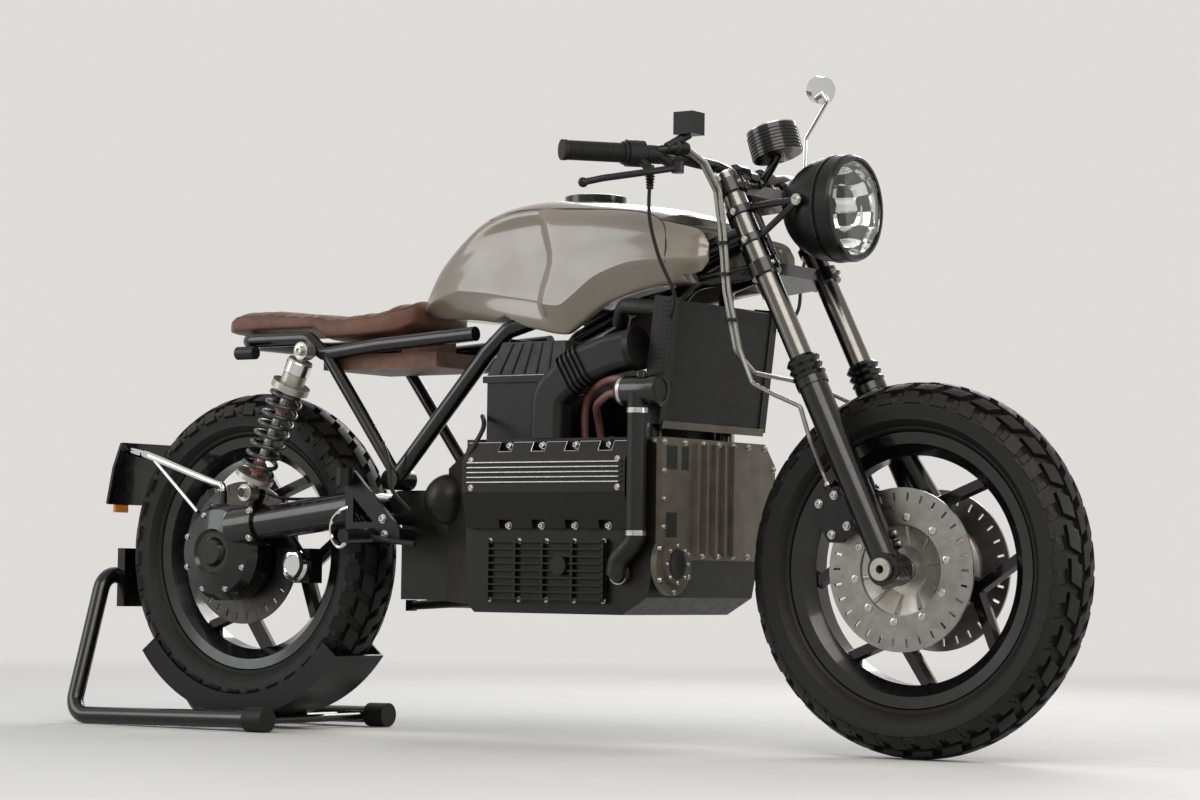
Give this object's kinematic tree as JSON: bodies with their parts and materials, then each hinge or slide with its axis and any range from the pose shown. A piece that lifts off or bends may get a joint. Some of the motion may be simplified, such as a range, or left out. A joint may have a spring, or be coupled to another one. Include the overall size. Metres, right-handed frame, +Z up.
{
  "type": "cafe racer motorcycle",
  "caption": "Naked road motorcycle with a shaft drive, a flat padded seat and a round headlamp, held upright by a cradle stand under its rear wheel.",
  "frame": {"origin": "middle of the whole outline on the floor, under the engine", "axes": "+X forward, +Y to the rider's left, +Z up"},
  "size_m": [2.2129, 0.8226, 1.2597],
  "materials": {
    "tank_paint": "gloss taupe",
    "frame_black": "gloss black",
    "satin_black": "satin black",
    "timing_taupe": "matt, dusty",
    "black_plastic": "moulded",
    "hose_rubber": "matt",
    "braid": "grey braided hose",
    "tyre_rubber": "matt",
    "disc_steel": "ground",
    "stanchion_steel": "brushed",
    "silver": "satin",
    "header_steel": "heat-tinted",
    "chrome": "bright",
    "spring_black": "gloss black",
    "leather_brown": "waxed",
    "lamp_glass": "clear"
  },
  "bodies": {
    "chassis": {"airbox": "black_plastic", "coolant_pipes": "hose_rubber", "crank_cover": "satin_black", "cylinder_head": "satin_black", "engine_block": "satin_black", "exhaust_headers": "header_steel", "filler_cap": "satin_black", "final_drive": "satin_black", "footrest_left": "satin_black", "footrest_right": "satin_black", "fuel_tank": "tank_paint", "gearbox": "satin_black", "intake_duct": "hose_rubber", "main_frame": "frame_black", "muffler": "satin_black", "plate_bracket": "chrome", "radiator": "satin_black", "rear_caliper": "satin_black", "rear_indicators": "black_plastic", "seat_cushion": "leather_brown", "seat_pan": "black_plastic", "shock_absorber": "silver", "shock_spring": "spring_black", "stand_cradle": "frame_black", "stand_feet": "hose_rubber", "stand_frame": "frame_black", "sump_cover": "satin_black", "swingarm": "satin_black", "tail_frame": "frame_black", "throttle_bodies": "satin_black", "timing_cover": "timing_taupe"},
    "steering": {"fork_stanchions": "stanchion_steel", "fork_sliders": "frame_black", "triple_clamps": "satin_black", "headlight_bracket": "frame_black", "headlight_bucket": "frame_black", "headlight_lens": "lamp_glass", "gauge": "satin_black", "handlebar": "satin_black", "grips": "hose_rubber", "brake_control": "satin_black", "clutch_control": "satin_black", "mirror": "chrome", "front_axle": "silver", "front_calipers": "satin_black", "brake_hoses": "braid"},
    "front_wheel": {"front_rim": "frame_black", "front_tyre": "tyre_rubber", "front_discs": "disc_steel", "disc_carriers": "silver"},
    "rear_wheel": {"rear_rim": "frame_black", "rear_tyre": "tyre_rubber", "rear_disc": "disc_steel"},
    "side_stand": {"side_stand": "frame_black"}
  },
  "joints": [
    {"name": "steering_hinge", "type": "hinge", "parent": "chassis", "child": "steering", "pos_m": [0.4336, 0, 0.91197], "axis": [-0.4431, 0, 0.8965], "range_deg": [-34, 34]},
    {"name": "front_wheel_spin", "type": "hinge", "parent": "steering", "child": "front_wheel", "pos_m": [0.7775, 0, 0.329], "axis": [0, 1, 0], "continuous": true},
    {"name": "rear_wheel_spin", "type": "hinge", "parent": "chassis", "child": "rear_wheel", "pos_m": [-0.7385, 0, 0.349], "axis": [0, 1, 0], "continuous": true},
    {"name": "side_stand_hinge", "type": "hinge", "parent": "chassis", "child": "side_stand", "pos_m": [-0.2155, 0.122, 0.262], "axis": [0, 0.953, 0.303], "range_deg": [-100, 0]}
  ]
}
